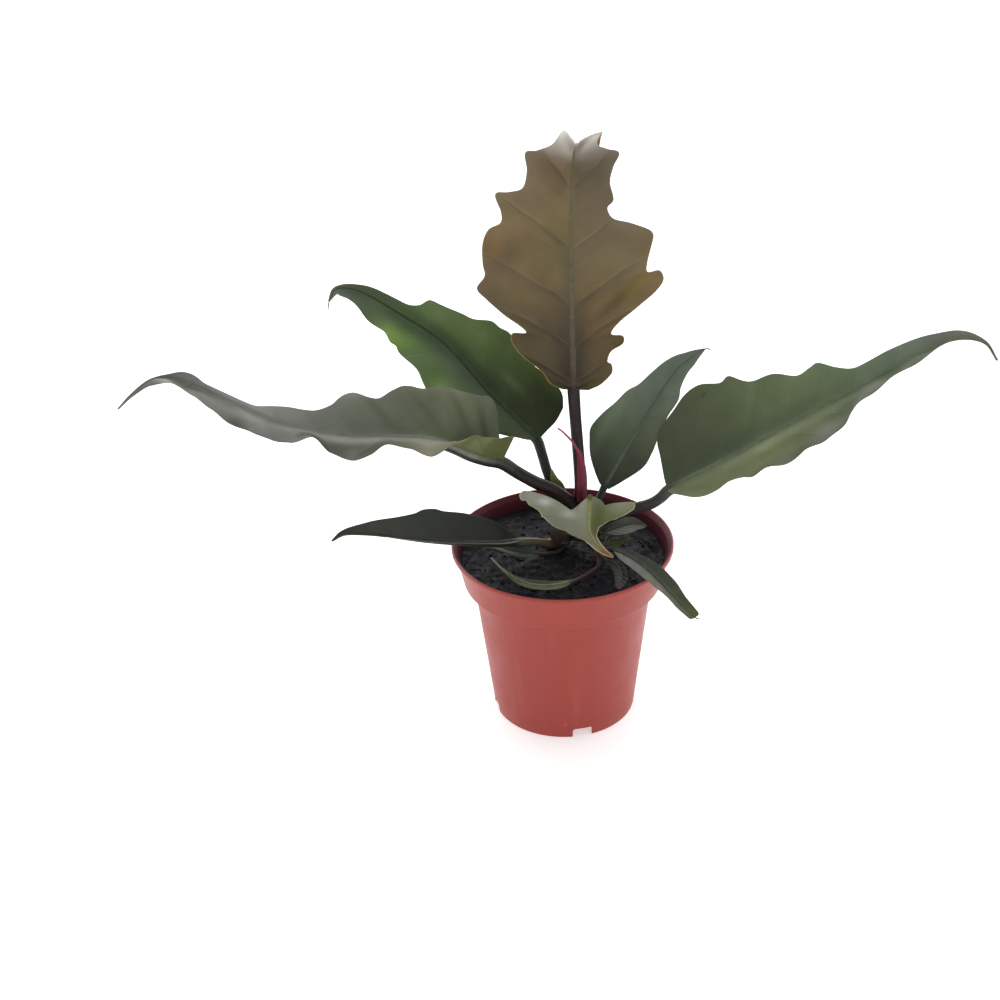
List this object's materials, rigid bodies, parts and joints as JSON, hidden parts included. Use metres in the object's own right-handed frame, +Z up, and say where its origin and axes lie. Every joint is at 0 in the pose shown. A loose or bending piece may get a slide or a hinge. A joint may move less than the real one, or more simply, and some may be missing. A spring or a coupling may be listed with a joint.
{
  "type": "potted caramel philodendron",
  "caption": "Young philodendron with long toothed caramel and green leaves on dark stalks, growing in soil in a stepped-rim nursery pot.",
  "frame": {"origin": "centre of the pot's foot, on the surface it stands on; the leaves reach about as far left as right and back as front of it", "axes": "+Z up along the pot's axis, +X to the viewer's right along the two longest leaves, -Y towards the viewer"},
  "size_m": [0.4401, 0.1365, 0.3128],
  "materials": {
    "pot_plastic": "satin moulded terracotta-coloured plastic",
    "potting_soil": "loose dark peat",
    "stem": "smooth reddish-brown stem",
    "leaf_caramel": "satin caramel-brown leaf",
    "leaf_green": "satin green leaf",
    "leaf_grey_green": "satin grey-green leaf",
    "leaf_blue_green": "satin dark bluish-green leaf",
    "leaf_olive": "satin olive-green leaf",
    "leaf_dark": "satin very dark green leaf",
    "leaf_pale": "satin pale sage leaf with cream edges",
    "leaf_young": "matte light green leaf",
    "scale_leaf": "dull red-brown scale leaf",
    "sheath_red": "satin wine-red sheath",
    "sheath_green": "matte yellow-green sheath"
  },
  "bodies": {
    "root": {"pot": "pot_plastic", "soil": "potting_soil", "stem": "stem", "shoot": "stem", "leaf_top": "leaf_caramel", "leaf_back_left": "leaf_green", "leaf_left": "leaf_grey_green", "leaf_back_right": "leaf_blue_green", "leaf_right": "leaf_olive", "leaf_low_left": "leaf_dark", "leaf_front": "leaf_pale", "leaf_low_right": "leaf_dark", "leaf_soil_right": "leaf_dark", "leaf_soil_small": "leaf_young", "leaf_crescent": "leaf_young", "leaf_under": "leaf_blue_green", "leaf_drooping": "leaf_dark", "scale_leaf": "scale_leaf", "red_sheath": "sheath_red", "green_sheath": "sheath_green"}
  },
  "joints": []
}
